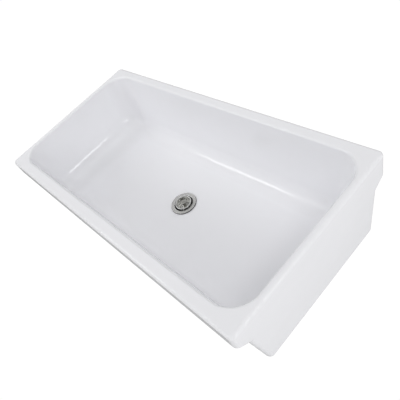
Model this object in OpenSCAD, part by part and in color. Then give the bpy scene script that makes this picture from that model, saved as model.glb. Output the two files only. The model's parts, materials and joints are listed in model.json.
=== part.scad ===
// Glazed ceramic trough sink with its basket strainer and waste tailpiece.
// The origin is on the drain's axis, in the plane of the basin's base.
// +X runs along the wall, +Y points back to the wall and +Z up.

/* [Basin outside] */
// Length along the wall
basin_len = 914; // [600:1:1500]
// Depth from the front lip to the wall
basin_w = 464; // [400:1:600]
// Height from the base to the rim
basin_h = 203; // [170:1:280]
// Height of the front lip's outer face
front_lip_h = 46; // [30:0.5:60]
// Reach of the front lip past the body's front wall
front_lip_reach = 25.5; // [16:0.5:32]
// Drop of the front lip's underside on its way in to the wall
front_lip_drop = 22; // [8:0.5:34]
// How far the front wall leans in from the lip to the base
front_lean = 19; // [6:0.5:24]
// Height of the back lip's outer face
back_lip_h = 60.5; // [30:0.5:80]
// Reach of the back lip past the body's back wall
back_lip_reach = 29.5; // [16:0.5:32]
// Drop of the back lip's underside on its way in to the wall
back_lip_drop = 19; // [8:0.5:34]
// How far the back wall leans in from the lip to the base
back_lean = 22; // [6:0.5:26]
// Radius of the rim's outer edge
rim_edge_r = 8; // [3:0.5:10]
// Radius of each lip's lower edge
lip_edge_r = 5; // [2:0.5:8]
// Radius in the inner corner under each lip
notch_r = 6; // [2:0.5:9]
// Radius of the base's edge
base_edge_r = 11; // [4:0.5:14]
// Radius of the outer corners in plan
plan_corner_r = 12; // [10.5:0.5:20]

/* [Bowl] */
// Width of the rim along the front
rim_front = 33; // [28:0.5:60]
// Width of the rim along the back
rim_back = 29; // [28:0.5:60]
// Width of the rim at each end
rim_end = 16; // [16:0.5:60]
// Radius of the bowl's corners in plan, at the rim
bowl_corner_r = 63; // [40:1:90]
// Radius of the bowl's corners in plan, at the floor
floor_corner_r = 12; // [6:1:30]
// Lean of the front and back walls, in degrees
long_wall_lean = 9.6; // [4:0.1:11]
// Lean of the end walls, in degrees
end_wall_lean = 8.4; // [4:0.1:16]
// Radius between the floor and the long walls
long_fillet_r = 50; // [20:1:60]
// Radius between the floor and the end walls
end_fillet_r = 86; // [20:1:90]
// Radius of the bowl's upper edge
opening_edge_r = 7; // [3:0.5:7.5]
// Thickness of the floor at the drain
floor_t = 12.5; // [11:0.5:26]
// Fall of the floor from its edge to the drain
floor_fall = 3; // [1:0.5:8]

/* [Waste hole] */
// Diameter of the hole through the floor
waste_hole_d = 64; // [60:0.5:68]
// Diameter of the level land round the hole
waste_land_d = 92; // [84:1:120]
// Diameter of the pocket under the floor for the locknut
waste_pocket_d = 104; // [92:1:140]
// Height of that pocket
waste_pocket_h = 3; // [1:0.5:6]

/* [Strainer] */
// Diameter of the flange
flange_d = 78; // [74:0.5:82]
// Thickness of the flange at its rolled edge
flange_t = 1.5; // [1.2:0.1:3]
// Diameter of the raised lip inside the flange
lip_d = 58; // [57:0.5:60]
// Inside diameter of the cup
cup_d = 51.2; // [50:0.2:53]
// Thickness of the cup's threaded wall
cup_wall_t = 2.4; // [1.6:0.1:3]
// Thickness of the cup's floor
cup_floor_t = 1.4; // [1:0.1:2.5]
// Depth of the cup's floor below the basin's base
cup_drop = 15; // [14.5:0.5:24]
// Thickness of the flange's gasket
gasket_t = 1.8; // [0.8:0.1:3]
// Clearance of the threads and of one loose piece in another
loose_fit = 0.15; // [0.05:0.05:0.4]

/* [Locknut] */
// Diameter of the rubber and fibre washers
washer_d = 84; // [80:0.5:88]
// Thickness of the rubber washer
rubber_t = 4; // [2:0.5:5]
// Thickness of the fibre washer
fibre_t = 1.2; // [0.8:0.1:2]
// Height of the locknut
locknut_h = 12; // [6:0.5:13]
// Diameter of the locknut's ring
locknut_d = 72; // [68:0.5:78]
// Diameter over the locknut's lugs
lug_d = 83; // [80:0.5:88]
// Number of lugs on the locknut
lug_count = 6; // [4:1:10]
// Width of each lug
lug_w = 9; // [5:0.5:14]

/* [Outlet] */
// Inside diameter of the outlet
outlet_d = 35.2; // [34:0.2:36]
// Outside diameter of the outlet's thread
outlet_thread_d = 47.6; // [46:0.2:50]
// Length of the outlet below the cup
outlet_h = 22; // [20:0.5:40]
// Diameter of the hub in the crossbars
hub_d = 14; // [12:0.5:18]
// Height of the hub
hub_h = 12; // [10:0.5:14]
// Drop of the hub's top below the top of the outlet
hub_drop = 6.6; // [6:0.2:9]
// Thickness of each crossbar
bar_t = 2.4; // [1.5:0.1:4]
// Height of each crossbar
bar_h = 6; // [3:0.5:10]
// Number of crossbars round the hub
bar_count = 4; // [3:1:6]

/* [Tailpiece] */
// Outside diameter of the tube
tail_d = 38.1; // [37:0.1:40]
// Thickness of the tube's wall
tail_wall_t = 1.2; // [0.8:0.1:1.6]
// Length of the tailpiece
tail_len = 102; // [60:1:300]
// Thickness of the tailpiece's washer
tail_washer_t = 2; // [1:0.1:3]
// Height of the coupling nut
nut_h = 19; // [16:0.5:20]
// Width across the flats of the coupling nut
nut_flats = 55; // [54:0.5:62]

/* [Basket] */
// Diameter over the basket's rolled rim
basket_d = 47.2; // [44:0.2:48.4]
// Diameter of the basket at its floor
basket_floor_d = 38; // [34:0.5:40]
// Height of the basket's rim above the strainer's lip when it is raised
basket_rise = 3; // [1:0.5:5]
// Thickness of the basket's metal
basket_t = 0.8; // [0.6:0.1:1.2]
// Height that the basket is raised above its closed place
basket_lift = 6; // [3:0.5:7]
// Diameter of the holes in the basket's wall
hole_d = 3.2; // [2:0.1:3.6]
// Number of holes in each row round the wall
hole_count = 18; // [8:1:20]
// Number of rows of holes
hole_rows = 2; // [1:1:3]
// Depth of the upper row of holes below the basket's rim
hole_drop = 8; // [5:0.5:9]
// Number of holes in the basket's floor
floor_hole_count = 12; // [6:1:14]
// Diameter of the post
post_d = 8; // [6:0.1:9]
// Diameter of the knob
knob_d = 15; // [12:0.5:18]
// Height of the knob
knob_h = 6.5; // [5:0.5:9]
// Height of the knob's top above the basket's rim
knob_rise = 4; // [2:0.5:8]
// Diameter of the stopper's rubber seal
seal_d = 41; // [39:0.5:42]
// Thickness of that seal
seal_t = 3; // [2:0.5:4]
// Length of the split sleeve that grips the hub
sleeve_len = 8; // [5:0.5:8.5]

/* [Hidden] */
$fn = 96;

glaze = "whitesmoke";
steel = "silver";
brass = "darkkhaki";
zinc = "lightslategray";
rubber = "dimgray";
fibre = "tan";
nylon = "ivory";

// Steps of each rounded edge of the basin, from the base up, over the rim and down the bowl
base_steps = 4;
notch_steps = 3;
lip_steps = 3;
rim_steps = 5;
opening_steps = 6;
fillet_steps = 10;
// Steps of each corner in plan and of the floor between its edge and the land
plan_steps = 8;
floor_steps = 4;

// Working gaps
seat_gap = 0.3;
slide_gap = 0.05;
end_play = 0.15;

// Levels of the waste fitting, from the flange down
flange_z = floor_t + gasket_t;
lip_z = flange_z + flange_t + 0.3;
rubber_z = waste_pocket_h - rubber_t;
fibre_z = rubber_z - fibre_t;
locknut_z = fibre_z - locknut_h;
cup_floor_z = -cup_drop;
outlet_z = cup_floor_z - cup_floor_t;
outlet_end_z = outlet_z - outlet_h;
hub_top_z = outlet_z - hub_drop;
tail_washer_z = outlet_end_z - tail_washer_t;
tail_flange_t = 1.5;
nut_lip_t = 3;
nut_z = tail_washer_z - tail_flange_t - nut_lip_t;
bead_h = 3.2;
bead_z = nut_z - 4;

// Radii of the waste fitting
cup_r = cup_d / 2;
cup_thread_r = cup_r + cup_wall_t;
outlet_r = outlet_d / 2;
outlet_thread_r = outlet_thread_d / 2;
tail_r = tail_d / 2;
tail_flange_r = outlet_thread_r - 0.3;
bead_r = tail_r + 1.4;

// Levels of the stopper, raised as the photograph shows it
seal_z = cup_floor_z + basket_lift + seat_gap;
plate_t = 1;
plate_z = seal_z + seal_t;
basket_z = plate_z + plate_t;
basket_top_z = lip_z + basket_rise;
stopper_nut_h = 2;
stopper_nut_z = seal_z - stopper_nut_h;
knob_z = basket_top_z + knob_rise - knob_h;
spigot_r = post_d / 2 - 1.5;
spigot_h = knob_h - 2.5;
collar_h = 1.5;

// Radii and levels of the sleeve in the hub
sleeve_r = post_d / 2;
neck_r = sleeve_r - 1;
hub_bore_r = sleeve_r + slide_gap;
sleeve_z = hub_top_z - 1 - sleeve_len;
head_h = 2;

// Corner q between p and s, rounded to the radius q[2] with n steps, or left sharp if that is 0
function corner(p, q, s, n) =
    let (a = [p[0], p[1]], b = [q[0], q[1]], c = [s[0], s[1]],
        u = (a - b) / norm(a - b), w = (c - b) / norm(c - b),
        half = acos(u * w) / 2,
        side = sign(cross(b - a, c - b)))
    q[2] == 0 || side == 0 ? [b] :
    let (centre = b + (u + w) / norm(u + w) * q[2] / sin(half),
        from = b + u * q[2] / tan(half) - centre,
        first = atan2(from[1], from[0]),
        turn = side * (180 - 2 * half))
    [for (i = [0:n]) centre + q[2] * [cos(first + turn * i / n), sin(first + turn * i / n)]];

// Closed outline through vertices of [x, y, radius]
function outline(v, n = 5) =
    let (m = len(v)) [for (i = [0:m - 1]) each corner(v[(i + m - 1) % m], v[i], v[(i + 1) % m], n)];

// Solid turned round the Z axis from such an outline of [radius, height, rounding]
module turned(v, n = 5) {
    rotate_extrude() polygon(outline(v, n));
}

// Flat ring between two radii
module ring(r_in, r_out, z, h) {
    translate([0, 0, z]) difference() {
        cylinder(r = r_out, h = h);
        translate([0, 0, -1]) cylinder(r = r_in, h = h + 2);
    }
}

// Basin. Each wall is a path of [distance, height, radius] from the base, out round the lip,
// over the rim and down the bowl to the floor. Rings of points follow the three paths together.

half_len = basin_len / 2;
half_w = basin_w / 2;
floor_edge_z = floor_t + floor_fall;
bowl_depth = basin_h - floor_edge_z;
open_x = half_len - rim_end;
steps = [base_steps, notch_steps, lip_steps, rim_steps, opening_steps, fillet_steps];

// Path of a long wall, with y measured outwards from the middle
function long_path(lip_h, reach, drop, lean, rim) =
    let (notch_y = half_w - reach, base_y = notch_y - lean,
        notch_z = basin_h - lip_h - drop,
        open_y = half_w - rim, foot_y = open_y - bowl_depth * tan(long_wall_lean))
    [[0, 0, 0], [base_y, 0, base_edge_r], [notch_y, notch_z, notch_r],
     [half_w, basin_h - lip_h, lip_edge_r], [half_w, basin_h, rim_edge_r],
     [open_y, basin_h, opening_edge_r], [foot_y, floor_edge_z, long_fillet_r], [0, floor_edge_z, 0]];

// Path of an end wall, whose outside is plumb from base to rim
function end_path() =
    let (foot_x = open_x - bowl_depth * tan(end_wall_lean))
    [[0, 0, 0], [half_len, 0, base_edge_r], [half_len, basin_h / 3, 0], [half_len, basin_h / 2, 0],
     [half_len, basin_h, rim_edge_r], [open_x, basin_h, opening_edge_r],
     [foot_x, floor_edge_z, end_fillet_r], [0, floor_edge_z, 0]];

// Points of a path, with as many at each vertex as its count of steps, plus one
function walk(path) =
    [for (i = [1:len(path) - 2])
        let (p = corner(path[i - 1], path[i], path[i + 1], steps[i - 1]))
        each len(p) > 1 ? p : [for (k = [0:steps[i - 1]]) p[0]]];

front_walk = walk(long_path(front_lip_h, front_lip_reach, front_lip_drop, front_lean, rim_front));
back_walk = walk(long_path(back_lip_h, back_lip_reach, back_lip_drop, back_lean, rim_back));
end_walk = walk(end_path());
outer_rings = base_steps + notch_steps + lip_steps + rim_steps + 4;
wall_rings = len(end_walk);

// Plan radius of the corner in ring i: it follows the outer edges in, and tapers down the bowl
floor_inset = open_x - end_walk[wall_rings - 1][0];
function plan_r(i) =
    let (x = end_walk[i][0])
    i < outer_rings ? plan_corner_r - (half_len - x) :
    x > open_x ? bowl_corner_r + x - open_x :
    bowl_corner_r - (bowl_corner_r - floor_corner_r) * (open_x - x) / floor_inset;

// Ring i: four rounded corners, counter-clockwise from the right-hand end of the front
function wall_ring(i) =
    let (x = end_walk[i][0], r = plan_r(i), inside = i >= outer_rings)
    [for (c = [0:3], k = [0:plan_steps])
        let (front = c == 0 || c == 3, t = k / plan_steps,
            side = front ? front_walk[i] : back_walk[i],
            toward_end = c % 2 == 0 ? t : 1 - t,
            blend = toward_end * toward_end * (3 - 2 * toward_end),
            end_z = inside ? end_walk[i][1] : side[1],
            a = -90 + 90 * c + 90 * t)
        [(c < 2 ? 1 : -1) * (x - r) + r * cos(a),
         (front ? -1 : 1) * (side[0] - r) + r * sin(a),
         side[1] + (end_z - side[1]) * blend]];

// Ring of the floor, a share f of the way from the foot of the walls to the level land
function floor_ring(f) =
    let (edge = wall_ring(wall_rings - 1), n = len(edge))
    [for (k = [0:n - 1])
        let (a = -90 + 360 * (k + 0.5) / n, fall = f * f * (3 - 2 * f))
        [edge[k][0] * (1 - f) + waste_land_d / 2 * cos(a) * f,
         edge[k][1] * (1 - f) + waste_land_d / 2 * sin(a) * f,
         floor_edge_z - floor_fall * fall]];

module basin_shell() {
    rings = concat([for (i = [0:wall_rings - 1]) wall_ring(i)],
        [for (i = [1:floor_steps]) floor_ring(i / floor_steps)]);
    n = len(rings[0]);
    m = len(rings);
    bands = [for (i = [0:m - 2], k = [0:n - 1])
        let (a = i * n + k, b = i * n + (k + 1) % n) each [[a, a + n, b + n], [a, b + n, b]]];
    polyhedron(points = [for (r = rings) each r],
        faces = concat(bands, [[for (k = [0:n - 1]) k]], [[for (k = [n - 1:-1:0]) (m - 1) * n + k]]));
}

module basin() {
    color(glaze) difference() {
        basin_shell();
        translate([0, 0, -1]) cylinder(d = waste_hole_d, h = floor_t + 2);
        translate([0, 0, -1]) cylinder(d = waste_pocket_d, h = waste_pocket_h + 1);
    }
}

// Waste fitting

module flange_gasket() {
    color(rubber) ring(waste_hole_d / 2 + 0.5, flange_d / 2 - 0.4, floor_t, gasket_t);
}

module strainer_body() {
    flange_r = flange_d / 2;
    flange_top_z = flange_z + flange_t;
    edge_r = flange_t * 0.4;
    lip_r = lip_d / 2;
    throat_z = flange_z - 9;
    color(steel) turned([
        [flange_r, flange_z, flange_t * 0.2], [flange_r, flange_top_z, edge_r],
        [flange_r - 3, flange_top_z - 0.3, 2], [lip_r + 2.4, flange_top_z - 0.5, 2],
        [lip_r + 0.4, lip_z, 0.7], [lip_r - 0.9, flange_z, 1.5],
        [cup_r, throat_z, 6], [cup_r, cup_floor_z, 4],
        [outlet_r, cup_floor_z, 0.4], [outlet_r, outlet_z, 0.2],
        [cup_thread_r, outlet_z, 3], [cup_thread_r, throat_z + 1, 4],
        [lip_r + 0.7, flange_z, 0]]);
}

module rubber_washer() {
    color(rubber) ring(cup_thread_r + loose_fit, washer_d / 2, rubber_z, rubber_t);
}

module fibre_washer() {
    color(fibre) ring(cup_thread_r + loose_fit, washer_d / 2 - 0.5, fibre_z, fibre_t);
}

module locknut() {
    rib_h = locknut_h * 0.75;
    color(zinc) difference() {
        union() {
            translate([0, 0, locknut_z]) cylinder(d = locknut_d, h = locknut_h);
            intersection() {
                translate([0, 0, locknut_z]) cylinder(d = lug_d, h = rib_h);
                for (i = [0:lug_count - 1]) rotate([0, 0, 360 / lug_count * i])
                    translate([0, -lug_w / 2, locknut_z]) cube([lug_d, lug_w, rib_h]);
            }
        }
        translate([0, 0, locknut_z - 1]) cylinder(r = cup_thread_r + loose_fit, h = locknut_h + 2);
    }
}

module crossbar_outlet() {
    shoulder_r = cup_thread_r - 2.5;
    color(brass) union() {
        turned([
            [outlet_r, outlet_z, 0.2], [outlet_r, outlet_end_z, 0.5],
            [outlet_thread_r, outlet_end_z, 0.8], [outlet_thread_r, outlet_z - 2, 0],
            [shoulder_r, outlet_z - 2, 0.4], [shoulder_r, outlet_z, 0.2]]);
        ring(hub_bore_r, hub_d / 2, hub_top_z - hub_h, hub_h);
        for (i = [0:bar_count - 1]) rotate([0, 0, 360 / bar_count * i])
            translate([hub_d / 2 - 0.5, -bar_t / 2, hub_top_z - (hub_h + bar_h) / 2])
                cube([outlet_r - hub_d / 2 + 1, bar_t, bar_h]);
    }
}

// Tailpiece and the nut that couples it to the outlet

module tailpiece_washer() {
    color(nylon) ring(outlet_r + 0.4, outlet_thread_r - 0.2, tail_washer_z, tail_washer_t);
}

module tailpiece() {
    end_z = tail_washer_z - tail_len;
    bore_r = tail_r - tail_wall_t;
    tail_flange_z = tail_washer_z - tail_flange_t;
    color(brass) turned([
        [bore_r, end_z, 0], [tail_r, end_z, 0],
        [tail_r, bead_z - bead_h / 2, 0], [bead_r, bead_z, 0.8], [tail_r, bead_z + bead_h / 2, 0],
        [tail_r, tail_flange_z, 0], [tail_flange_r, tail_flange_z, 0.4],
        [tail_flange_r, tail_washer_z, 0.4], [bore_r, tail_washer_z, 0.6]]);
}

module coupling_nut() {
    top_z = nut_z + nut_h;
    flats_h = nut_h * 0.62;
    corner_r = nut_flats / 2 / cos(30);
    color(brass) difference() {
        union() {
            translate([0, 0, nut_z]) cylinder(d = nut_flats - 2, h = nut_h);
            intersection() {
                translate([0, 0, nut_z]) cylinder(r = corner_r, h = flats_h, $fn = 6);
                turned([[0, nut_z, 0], [nut_flats / 2 - 0.5, nut_z, 0], [corner_r, nut_z + 2, 0],
                    [corner_r, nut_z + flats_h - 2, 0], [nut_flats / 2 - 0.5, nut_z + flats_h, 0],
                    [0, nut_z + flats_h, 0]]);
            }
        }
        translate([0, 0, nut_z - 1]) cylinder(r = tail_r + 2 * loose_fit, h = nut_lip_t + 2);
        translate([0, 0, nut_z + nut_lip_t])
            cylinder(r = outlet_thread_r + loose_fit, h = top_z - nut_z);
    }
}

// Basket with its stopper, which lifts out as one

module spring_sleeve() {
    slit_w = 1.2;
    color(steel) difference() {
        ring(neck_r + slide_gap, sleeve_r, sleeve_z, sleeve_len);
        translate([0, -slit_w / 2, sleeve_z - 1]) cube([sleeve_r + 1, slit_w, sleeve_len + 2]);
    }
}

module basket_post() {
    head_z = sleeve_z - end_play;
    shaft_z = sleeve_z + sleeve_len + end_play;
    shaft_r = sleeve_r - 0.1;
    floor_z = basket_z + basket_t;
    color(steel) turned([
        [0, head_z - head_h, 0], [shaft_r, head_z - head_h, 0.8], [shaft_r, head_z, 0],
        [neck_r, head_z, 0], [neck_r, shaft_z, 0], [shaft_r, shaft_z, 0.3],
        [shaft_r, floor_z, 0], [shaft_r + 2, floor_z, 0.3], [shaft_r + 2, floor_z + collar_h, 0.6],
        [shaft_r, floor_z + collar_h, 0.3], [shaft_r, knob_z, 0.2], [spigot_r, knob_z, 0],
        [spigot_r, knob_z + spigot_h, 0.4], [0, knob_z + spigot_h, 0]], 3);
}

module basket_cup() {
    rim_r = basket_d / 2;
    foot_r = basket_floor_d / 2;
    wall_r = rim_r - 1.6;
    row_pitch = hole_d * 1.6;
    first_row_z = basket_top_z - hole_drop;
    floor_ring_r = (foot_r + post_d / 2) / 2 + 1;
    color(steel) difference() {
        turned([
            [sleeve_r, basket_z, 0], [foot_r, basket_z, 3], [wall_r + basket_t, basket_top_z - 2.4, 0.6],
            [rim_r, basket_top_z - 2, 0.8], [rim_r, basket_top_z, 0.9], [wall_r, basket_top_z, 0.9],
            [foot_r - basket_t, basket_z + basket_t, 2.2], [sleeve_r, basket_z + basket_t, 0]]);
        for (row = [0:hole_rows - 1], i = [0:hole_count - 1])
            rotate([0, 0, 360 / hole_count * (i + row / 2)])
                translate([foot_r - 5, 0, first_row_z - row * row_pitch])
                    rotate([0, 90, 0]) cylinder(d = hole_d, h = rim_r, $fn = 24);
        for (i = [0:floor_hole_count - 1]) rotate([0, 0, 360 / floor_hole_count * i])
            translate([floor_ring_r, 0, basket_z - 1]) cylinder(d = hole_d, h = basket_t + 2, $fn = 24);
    }
}

module stopper_plate() {
    color(steel) ring(sleeve_r, seal_d / 2 - 5, plate_z, plate_t);
}

module stopper_seal() {
    seal_r = seal_d / 2;
    color(rubber) turned([
        [sleeve_r, seal_z, 0], [seal_r - 2, seal_z, 0.5], [seal_r, seal_z + seal_t / 2, 0.6],
        [seal_r - 1, seal_z + seal_t, 0.5], [sleeve_r, seal_z + seal_t, 0]]);
}

module stopper_nut() {
    color(brass) translate([0, 0, stopper_nut_z]) difference() {
        cylinder(d = post_d + 6, h = stopper_nut_h, $fn = 6);
        translate([0, 0, -1]) cylinder(r = sleeve_r, h = stopper_nut_h + 2);
    }
}

module basket_knob() {
    color(steel) turned([
        [0, knob_z + spigot_h + 0.1, 0], [spigot_r + slide_gap, knob_z + spigot_h + 0.1, 0],
        [spigot_r + slide_gap, knob_z, 0], [post_d / 2 + 0.6, knob_z, 0.5],
        [post_d / 2 + 0.8, knob_z + knob_h * 0.25, 2], [knob_d / 2, knob_z + knob_h * 0.45, 1],
        [knob_d / 2 - 0.6, knob_z + knob_h * 0.85, 3], [0, knob_z + knob_h, 0]]);
}

basin();
flange_gasket();
strainer_body();
rubber_washer();
fibre_washer();
locknut();
crossbar_outlet();
tailpiece_washer();
tailpiece();
coupling_nut();
spring_sleeve();
basket_post();
basket_cup();
stopper_plate();
stopper_seal();
stopper_nut();
basket_knob();
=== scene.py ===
"""Looks of a glazed ceramic trough sink with its basket strainer, laid out as an add-on.

Every new piece is a surface worked out with numpy in metres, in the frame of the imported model.
"""

import json
import math

import bmesh
import bpy
import numpy as np
from mathutils import Matrix, Vector


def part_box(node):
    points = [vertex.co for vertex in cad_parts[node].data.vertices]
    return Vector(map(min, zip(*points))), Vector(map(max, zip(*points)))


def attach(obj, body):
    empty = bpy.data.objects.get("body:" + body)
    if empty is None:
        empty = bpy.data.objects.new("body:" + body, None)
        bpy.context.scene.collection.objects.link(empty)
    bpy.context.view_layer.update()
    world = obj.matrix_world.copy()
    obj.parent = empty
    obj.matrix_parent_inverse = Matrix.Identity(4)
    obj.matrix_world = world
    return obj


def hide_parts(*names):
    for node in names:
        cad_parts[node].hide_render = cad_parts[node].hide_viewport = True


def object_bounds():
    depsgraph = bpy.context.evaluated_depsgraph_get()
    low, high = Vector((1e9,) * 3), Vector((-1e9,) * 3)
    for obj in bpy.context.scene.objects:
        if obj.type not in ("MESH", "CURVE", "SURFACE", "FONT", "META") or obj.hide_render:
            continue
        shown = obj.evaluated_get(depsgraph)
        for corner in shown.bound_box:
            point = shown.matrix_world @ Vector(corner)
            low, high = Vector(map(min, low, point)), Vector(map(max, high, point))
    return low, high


bl_info = {
    "name": "Trough sink",
    "version": (1, 0, 0),
    "blender": (4, 5, 0),
    "location": "3D View > Sidebar > Sink",
    "description": "Glazed trough sink with a basket strainer",
    "category": "Add Mesh",
}

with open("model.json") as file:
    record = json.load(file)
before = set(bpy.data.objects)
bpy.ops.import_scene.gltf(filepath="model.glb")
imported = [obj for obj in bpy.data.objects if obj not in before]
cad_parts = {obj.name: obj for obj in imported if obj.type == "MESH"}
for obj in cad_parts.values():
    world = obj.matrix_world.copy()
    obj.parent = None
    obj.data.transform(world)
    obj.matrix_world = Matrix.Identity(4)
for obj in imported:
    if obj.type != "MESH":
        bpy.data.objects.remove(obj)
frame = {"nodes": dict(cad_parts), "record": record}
cad_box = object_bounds()

HALF_LEN, HALF_W, RIM_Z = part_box("basin")[1]
FLOOR_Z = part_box("flange_gasket")[0][2]
FLANGE_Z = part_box("flange_gasket")[1][2]


def length(name, text, default):
    """Property for a length in metres."""
    return bpy.props.FloatProperty(
        name=name, description=text, default=default, min=0.0, max=1.0, unit="LENGTH", precision=4
    )


def colour(name, text, default):
    """Property for a linear colour."""
    return bpy.props.FloatVectorProperty(
        name=name, description=text, default=default, size=3, min=0.0, max=1.0, subtype="COLOR"
    )


def angle(name, text, degrees):
    """Property for an angle, with its default in degrees."""
    return bpy.props.FloatProperty(
        name=name, description=text, default=math.radians(degrees), subtype="ANGLE"
    )


def count(name, text, default):
    """Property for a number of like things."""
    return bpy.props.IntProperty(name=name, description=text, default=default, min=1, max=64)


class SinkBasinSizes(bpy.types.PropertyGroup):
    """Sizes of the basin"""

    front_lip_h: length("Front lip", "Height of the front lip's outer face", 0.046)
    front_lip_reach: length("Front reach", "Reach of the front lip past the body", 0.0255)
    front_lip_drop: length("Front drop", "Drop of the front lip's underside", 0.022)
    front_lean: length("Front lean", "How far the front wall leans in to the base", 0.019)
    back_lip_h: length("Back lip", "Height of the back lip's outer face", 0.0605)
    back_lip_reach: length("Back reach", "Reach of the back lip past the body", 0.0295)
    back_lip_drop: length("Back drop", "Drop of the back lip's underside", 0.019)
    back_lean: length("Back lean", "How far the back wall leans in to the base", 0.022)
    rim_edge_r: length("Rim edge", "Radius of the rim's outer edge", 0.008)
    lip_edge_r: length("Lip edge", "Radius of each lip's lower edge", 0.005)
    notch_r: length("Notch", "Radius under each lip", 0.006)
    base_edge_r: length("Base edge", "Radius of the base's edge", 0.011)
    plan_corner_r: length("Plan corner", "Radius of the outer corners in plan", 0.012)
    rim_front: length("Front rim", "Width of the rim along the front", 0.033)
    rim_back: length("Back rim", "Width of the rim along the back", 0.029)
    rim_end: length("End rim", "Width of the rim at each end", 0.016)
    bowl_corner_r: length("Bowl corner", "Plan radius of the bowl's corners at the rim", 0.063)
    floor_corner_r: length("Floor corner", "Plan radius of the bowl's corners at the floor", 0.012)
    long_wall_lean: angle("Long wall lean", "Lean of the front and back walls", 9.6)
    end_wall_lean: angle("End wall lean", "Lean of the end walls", 8.4)
    long_fillet_r: length("Long fillet", "Radius between floor and long walls", 0.05)
    end_fillet_r: length("End fillet", "Radius between floor and end walls", 0.086)
    opening_edge_r: length("Opening edge", "Radius of the bowl's upper edge", 0.007)
    floor_fall: length("Fall", "Fall of the floor from its edge to the drain", 0.003)
    waste_hole_r: length("Waste hole", "Radius of the hole through the floor", 0.032)
    waste_land_r: length("Waste land", "Radius of the level land round the hole", 0.046)
    pocket_r: length("Pocket", "Radius of the pocket under the floor", 0.052)
    pocket_h: length("Pocket height", "Height of the pocket under the floor", 0.003)


class SinkWasteSizes(bpy.types.PropertyGroup):
    """Sizes of the waste fitting and the basket"""

    lip_r: length("Lip", "Radius of the raised lip inside the flange", 0.0276)
    flange_inset: length("Flange inset", "How far the flange's rolled edge draws in", 0.002)
    gasket_inset: length("Gasket inset", "How far the gasket is squeezed in under the flange", 0.0011)
    flange_curve: length("Flange curve", "Width of the flange's downward curve", 0.005)
    cup_r: length("Cup", "Inside radius of the strainer's cup", 0.0256)
    cup_wall: length("Cup wall", "Thickness of the cup's threaded wall", 0.0024)
    cup_floor: length("Cup floor", "Thickness of the cup's floor", 0.0014)
    outlet_r: length("Outlet", "Inside radius of the outlet", 0.0176)
    tail_r: length("Tube", "Outside radius of the tailpiece", 0.01905)
    tail_wall: length("Tube wall", "Thickness of the tailpiece's wall", 0.0012)
    locknut_r: length("Locknut", "Radius of the locknut's ring", 0.036)
    lug_w: length("Lug", "Width of each lug of the locknut", 0.009)
    lug_count: count("Lugs", "Number of lugs on the locknut", 6)
    nut_flats: length("Coupling nut", "Width across the flats of the coupling nut", 0.055)
    nut_lip: length("Nut lip", "Thickness of the coupling nut's inner lip", 0.003)
    outlet_thread_r: length("Outlet thread", "Radius of the outlet's thread", 0.0238)
    thread_pitch: length("Pitch", "Pitch of the threads", 0.0018)
    thread_depth: length("Thread depth", "Depth of the threads", 0.0005)
    basket_foot_r: length("Basket foot", "Radius of the basket at its floor", 0.019)
    basket_metal: length("Basket metal", "Thickness of the basket's metal", 0.0008)
    basket_roll: length("Basket roll", "Width of the basket's rolled rim", 0.0016)
    basket_slack: length("Basket slack", "How far the rolled rim draws in from the box", 0.0008)
    hole_r: length("Hole", "Radius of the basket's holes", 0.0016)
    hole_drop: length("Hole drop", "Depth of the upper row of holes below the rim", 0.0098)
    hole_count: count("Wall holes", "Number of holes in each row round the wall", 18)
    hole_rows: count("Hole rows", "Number of rows of holes", 2)
    floor_hole_count: count("Floor holes", "Number of holes in the basket's floor", 12)
    post_r: length("Post", "Radius of the basket's post", 0.004)


class SinkFinish(bpy.types.PropertyGroup):
    """Colours of the finishes"""

    glaze: colour("Glaze", "Colour of the glaze", (0.895, 0.897, 0.922))
    clay: colour("Clay", "Colour of the bare fired clay", (0.60, 0.53, 0.43))
    steel: colour("Steel", "Colour of the drawn stainless steel", (0.92, 0.92, 0.905))
    basket: colour("Basket", "Colour of the basket's polished steel", (0.92, 0.92, 0.9))
    knob: colour("Knob", "Colour of the knob and its post", (0.62, 0.615, 0.575))
    brass: colour("Brass", "Colour of the raw brass", (0.62, 0.46, 0.22))
    zinc: colour("Zinc", "Colour of the die-cast zinc", (0.36, 0.37, 0.39))
    rubber: colour("Rubber", "Colour of the rubber", (0.016, 0.016, 0.017))
    fibre: colour("Fibre", "Colour of the pressed fibre", (0.36, 0.22, 0.12))
    nylon: colour("Nylon", "Colour of the nylon", (0.74, 0.72, 0.65))
    floor: colour("Floor", "Colour of the floor", (1.0, 1.0, 1.0))


# Shared shapes


def rounded_corner(before, here, after, radius, steps):
    """Points of the circle of that radius that touches both runs at a corner, from the point
    where it leaves the first run to the point where it joins the second."""
    u, w = before - here, after - here
    u, w = u / np.linalg.norm(u), w / np.linalg.norm(w)
    half = math.acos(np.clip(u @ w, -1, 1)) / 2
    side = w[0] * u[1] - w[1] * u[0]
    if radius == 0 or abs(side) < 1e-9:
        return here[None]
    centre = here + (u + w) / np.linalg.norm(u + w) * radius / math.sin(half)
    first = here + u * radius / math.tan(half) - centre
    turn = np.sign(side) * (math.pi - 2 * half)
    a = math.atan2(first[1], first[0]) + turn * np.linspace(0, 1, steps + 1)
    return centre + radius * np.stack([np.cos(a), np.sin(a)], 1)


def outline(vertices, steps=5, spacing=0.003):
    """Closed outline through vertices of (x, y, radius): each corner becomes an arc of so many
    steps, and each straight run gets a point near both ends and one every spacing between."""
    p = np.array([v[:2] for v in vertices], float)
    n = len(p)
    corners = [
        rounded_corner(p[k - 1], p[k], p[(k + 1) % n], vertices[k][2], steps) for k in range(n)
    ]
    out = []
    for k in range(n):
        start, end = corners[k][-1], corners[(k + 1) % n][0]
        run = np.linalg.norm(end - start)
        out.append(corners[k])
        if run > 1e-6:
            near = min(0.25, 0.0002 / run)
            inner = np.linspace(near, 1 - near, max(2, int(run / spacing) + 1))
            out.append(start + (end - start) * inner[:, None])
    return np.concatenate(out)


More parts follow.
